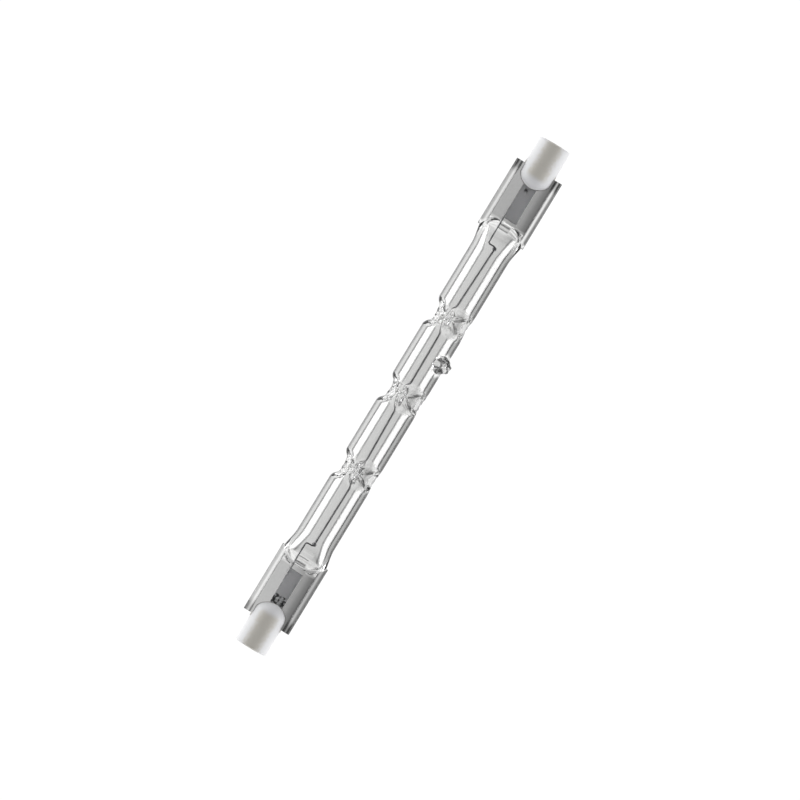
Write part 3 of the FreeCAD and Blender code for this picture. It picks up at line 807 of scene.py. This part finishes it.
# %% Bend the hooks
LEAD_RADIUS = 0.15 * MM
LEAD_OFFSET = 1.3 * MM
LEAD_SIDES = 16
HOOK = SEAL_START - 3.4 * MM
HOOK_BEND = 0.4 * MM
BEND_STEPS = 6
HOOK_DROPS = {"a": 0.39 * MM, "b": 0.27 * MM}
BEAD_RADIUS = 0.42 * MM
BEAD_LUMPS = 0.18
BEAD_LUMP_SIZE = 0.3 * MM


def only(kind, items):
    return [item for item in items if isinstance(item, kind)]


def grow(shape, edges, step):
    made = bmesh.ops.extrude_edge_only(shape, edges=edges)["geom"]
    bmesh.ops.translate(shape, vec=step, verts=only(bmesh.types.BMVert, made))
    return only(bmesh.types.BMEdge, made)


def bend(shape, edges, centre, angle):
    made = bmesh.ops.spin(
        shape, geom=edges, cent=centre, axis=(0, 0, 1), angle=angle, steps=BEND_STEPS,
        use_duplicate=False,
    )
    return only(bmesh.types.BMEdge, made["geom_last"])


for side, fall in HOOK_DROPS.items():
    wire = bmesh.new()
    bmesh.ops.create_circle(
        wire, cap_ends=False, segments=LEAD_SIDES, radius=LEAD_RADIUS,
        matrix=Matrix.Rotation(math.pi / 2, 4, "Y"),
    )
    bmesh.ops.translate(wire, vec=(hook_high.x, LEAD_OFFSET, 0), verts=wire.verts)
    ring = grow(wire, wire.edges[:], (HOOK + HOOK_BEND - hook_high.x, 0, 0))
    ring = bend(wire, ring, (HOOK + HOOK_BEND, LEAD_OFFSET - HOOK_BEND, 0), math.pi / 2)
    ring = grow(wire, ring, (0, 2 * HOOK_BEND - LEAD_OFFSET - fall, 0))
    ring = bend(wire, ring, (HOOK - HOOK_BEND, HOOK_BEND - fall, 0), -math.pi / 2)
    grow(wire, ring, (hook_low.x - HOOK + HOOK_BEND, 0, 0))
    bmesh.ops.holes_fill(wire, edges=wire.edges)
    bead = bmesh.ops.create_icosphere(wire, subdivisions=3, radius=BEAD_RADIUS)["verts"]
    for vertex in bead:
        vertex.co *= 1 + BEAD_LUMPS * noise.noise(vertex.co / BEAD_LUMP_SIZE)
    bmesh.ops.translate(wire, vec=(HOOK - HOOK_BEND, -fall, 0), verts=bead)
    bmesh.ops.recalc_face_normals(wire, faces=wire.faces)
    lead = make_object(f"hook_{side}", turn_to(wire, side))
    finish_piece(lead, tungsten.material, "tungsten", f"inner_lead_{side}")

# %% [markdown]
# ## The filament
# The coil is a fine tungsten wire wound on a mandrel. The round section of the wire is spun round
# the axis, and each step also moves it along by its share of the pitch. Three turns are spun, and
# then the coil is doubled again and again, which is much quicker than hundreds of turns of the
# spin.

# %% Wind the filament
WIRE_RADIUS = 0.05 * MM
WIRE_SIDES = 6
COIL_RADIUS = 0.2 * MM
STEPS_PER_TURN = 10
SPUN_TURNS = 3
DOUBLINGS = 7
turns = SPUN_TURNS * 2**DOUBLINGS
coil_length = coil_high.x - coil_low.x - 2 * WIRE_RADIUS
pitch = coil_length / turns
coil = bmesh.new()
bmesh.ops.create_circle(coil, cap_ends=False, segments=WIRE_SIDES, radius=WIRE_RADIUS)
bmesh.ops.translate(coil, vec=(coil_low.x + WIRE_RADIUS, COIL_RADIUS, 0), verts=coil.verts)
bmesh.ops.spin(
    coil, geom=coil.verts[:] + coil.edges[:], cent=(0, 0, 0), axis=(1, 0, 0),
    angle=math.tau * SPUN_TURNS, steps=SPUN_TURNS * STEPS_PER_TURN,
    dvec=(pitch / STEPS_PER_TURN, 0, 0),
)
for doubling in range(DOUBLINGS):
    whole = coil.verts[:] + coil.edges[:] + coil.faces[:]
    second = bmesh.ops.duplicate(coil, geom=whole)["geom"]
    step = (pitch * SPUN_TURNS * 2**doubling, 0, 0)
    bmesh.ops.translate(coil, vec=step, verts=only(bmesh.types.BMVert, second))
bmesh.ops.remove_doubles(coil, verts=coil.verts, dist=WIRE_RADIUS / 20)
bmesh.ops.holes_fill(coil, edges=coil.edges)
bmesh.ops.recalc_face_normals(coil, faces=coil.faces)
print(f"{turns} turns, {pitch / MM:.3f} mm apart")

# %% [markdown]
# ## How the filament hangs
# Its spans hang a little between the supports and lean to one side, from knot to knot. Near a
# support, where the glass grips it, the coil is pulled back towards the axis.

# %% Hang the filament
SAG = 0.25 * MM
FREE_AFTER = 2.5 * MM
GRIPPED_SHARE = 0.2
COIL_CRISP_ABOVE = 60
KNOTS = (
    (coil_low.x, -HOOK_DROPS["b"]), (-SUPPORT_PITCH, -0.5 * MM), (0, 0), (SUPPORT_PITCH, 0.2 * MM),
    (coil_high.x, -HOOK_DROPS["a"]),
)
for vertex in coil.verts:
    for (start, lean), (end, next_lean) in zip(KNOTS, KNOTS[1:]):
        if start <= vertex.co.x <= end:
            along = (vertex.co.x - start) / (end - start)
            free = GRIPPED_SHARE + (1 - GRIPPED_SHARE) * ease(from_support(vertex.co.x) / FREE_AFTER)
            hang = math.sin(math.pi * along) ** 2
            vertex.co += Vector((0, (lean + (next_lean - lean) * along) * free, -SAG * hang))
            break
filament = make_object("coiled_filament", coil, COIL_CRISP_ABOVE)
finish_piece(filament, tungsten.material, "tungsten", "filament")

# %% [markdown]
# ## Finishes for the glass and for the solids that stay
# The foils, the outer leads, the cement and the contacts are right as they come, so they only get
# their finishes.

# %% Finish the glass and the small solids
finish_piece(envelope, quartz.material, "quartz", "quartz_envelope")
FINISHES = {"sealing_foil": molybdenum, "outer_lead": molybdenum, "cap_cement": cement, "contact": nickel}
for start, finish in FINISHES.items():
    for side in END_TURNS:
        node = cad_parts[f"{start}_{side}"]
        node.data.materials.clear()
        node.data.materials.append(finish.material)
print("finished as they are:", sorted(FINISHES))

# %% [markdown]
# ## The table
# The lamp lies on a sheet of opal glass, lit from below, so the ground is white without a shadow
# line. The camera sees it evenly white. Rays that come by way of the glass find painted bands of
# light and shade in its glow instead, a little darker towards -Y like a painted shadow of the lamp,
# which draw the long grey lines in the tube. The bands flare outwards at the shoulders, end at the
# pinches, and fade under the supports and the tip.

# %% Lay the table
FLARE_START = 33.5 * MM
FLARE_END = 38.5 * MM
TABLE_HALF = 2.0

opal = Finish("pale_table", Base_Color=(0.05, 0.05, 0.05), Roughness=0.9, Emission_Color=(1.0, 1.0, 1.0))
_, (x, y, _) = opal.place()
seen_directly = opal.node("ShaderNodeLightPath", output="Is Camera Ray")
upper_a = x.between(-1 * MM, 1 * MM) * y.between(-1 * MM, 1 * MM)
flare = (abs(x).within(FLARE_START, FLARE_END) - FLARE_START) * (upper_a * 0.2 + 0.16)
away = abs(y) - flare
in_tube = x.strip(38 * MM, 39.2 * MM)
near_support = 1 - from_support(x).between(1.6 * MM, 3.0 * MM)
at_tip = (x - TIP_STATION).strip(2.0 * MM, 3.0 * MM) * (y * -1).between(3.2 * MM, 4.2 * MM)
# The glow seen through the glass is painted light and shade: bands, a darker -Y side and dark outer
# strips.
body = y.between(-6 * MM, 5 * MM) * 0.14 + 0.6
bands = away.between(2.2 * MM, 2.7 * MM) * 0.3 - away.hill(2.0 * MM, 0.35 * MM) * 0.42
bands = bands * (1 - near_support * 0.8) + near_support * 0.12
outer = abs(y).between(4.7 * MM, 5.4 * MM) * (0.36 + y.between(1 * MM, -1 * MM) * 0.12)
outer *= (1 - near_support * 0.7) * (1 - at_tip)
through_glass = body + (bands - outer) * in_tube + (1 - in_tube) * 0.25 + at_tip * 0.2
opal.set("Emission Strength", through_glass * (1 - seen_directly) + seen_directly)

top = bmesh.new()
bmesh.ops.create_grid(top, x_segments=1, y_segments=1, size=TABLE_HALF)
bmesh.ops.translate(top, vec=(0, 0, glass_low.z), verts=top.verts)
table = make_object("table", top)
table.data.materials.append(opal.material)
print(f"table {glass_low.z / MM:.2f} mm below the axis")

# %% [markdown]
# ## The room
# The room is a light tent. Its walls are bright, which gives the caps their even white, and its
# top is dim, so the glass that faces the camera keeps its grey bands. The camera itself sees it as
# nearly white.

# %% Hang the tent
WALL_GLOW = 0.7
TOP_GLOW = 0.14
SEEN_GLOW = 0.95
TOP_STARTS = math.cos(math.radians(56))
TOP_FADE = 0.03

world = bpy.data.worlds.new("room")
bpy.context.scene.world = world
world.use_nodes = True
room = Nodes(world.node_tree)
backdrop = room.tree.nodes["Background"]
height = room.split(room.node("ShaderNodeTexCoord", output="Generated"))[2]
tent = room.node("ShaderNodeMapRange", None, {
    "Value": height, "From Min": TOP_STARTS - TOP_FADE, "From Max": TOP_STARTS + TOP_FADE,
    "To Min": WALL_GLOW, "To Max": TOP_GLOW,
})
seen_directly = room.node("ShaderNodeLightPath", output="Is Camera Ray")
room.feed(backdrop.inputs["Color"], (0.96, 0.97, 1.0))
room.feed(backdrop.inputs["Strength"], tent * (1 - seen_directly) + seen_directly * SEEN_GLOW)
print("room:", len(room.tree.nodes), "nodes")

# %% [markdown]
# ## The lights
# Two long soft boxes lie low on both sides, along the lamp. Their reflections are the white lines
# in the tube, and they light the flanks of the caps.

# %% Set the soft boxes
BOX_DISTANCE = 0.4
BOX_LENGTH = 0.6
BOX_WIDTH = 0.125
BOX_POWER = 0.98
BOX_LEAN = math.radians(77)


def axes(x_axis, y_axis, z_axis):
    return Matrix((x_axis, y_axis, z_axis)).transposed().to_4x4()


for name, side in (("upper_box", 1), ("lower_box", -1)):
    box = bpy.data.lights.new(name, "AREA")
    box.shape = "RECTANGLE"
    box.size, box.size_y = BOX_LENGTH, BOX_WIDTH
    box.energy = BOX_POWER
    stand = bpy.data.objects.new(name, box)
    back = Vector((0, side * math.sin(BOX_LEAN), math.cos(BOX_LEAN)))
    along = Vector((1, 0, 0))
    stand.matrix_world = Matrix.Translation(back * BOX_DISTANCE) @ axes(along, back.cross(along), back)
    bpy.context.collection.objects.link(stand)
    print(f"{name}: {BOX_DISTANCE} m away, {math.degrees(BOX_LEAN):.0f} degrees from overhead")

# %% [markdown]
# ## The camera
# It looks straight down with a long lens. The lamp crosses the picture from the lower left to the
# upper right, with its middle a little off the picture's.

# %% Place the camera
PICTURE_WIDTH = 160 * MM
CAMERA_HEIGHT = 1.0
SLOPE = math.radians(58.72)
OFF_CENTRE = Vector((-0.577 * MM, -0.746 * MM))

right = Vector((math.cos(SLOPE), -math.sin(SLOPE), 0))
up = Vector((math.sin(SLOPE), math.cos(SLOPE), 0))
back = Vector((0, 0, 1))
lens = bpy.data.cameras.new("camera")
lens.sensor_width = 36
lens.lens = lens.sensor_width * CAMERA_HEIGHT / PICTURE_WIDTH
camera = bpy.data.objects.new("camera", lens)
centre = OFF_CENTRE.x * right + OFF_CENTRE.y * up + back * CAMERA_HEIGHT
camera.matrix_world = Matrix.Translation(centre) @ axes(right, up, back)
bpy.context.collection.objects.link(camera)
bpy.context.scene.camera = camera
bpy.context.scene.view_settings.view_transform = "Standard"
print(f"lens {lens.lens:.0f} mm")
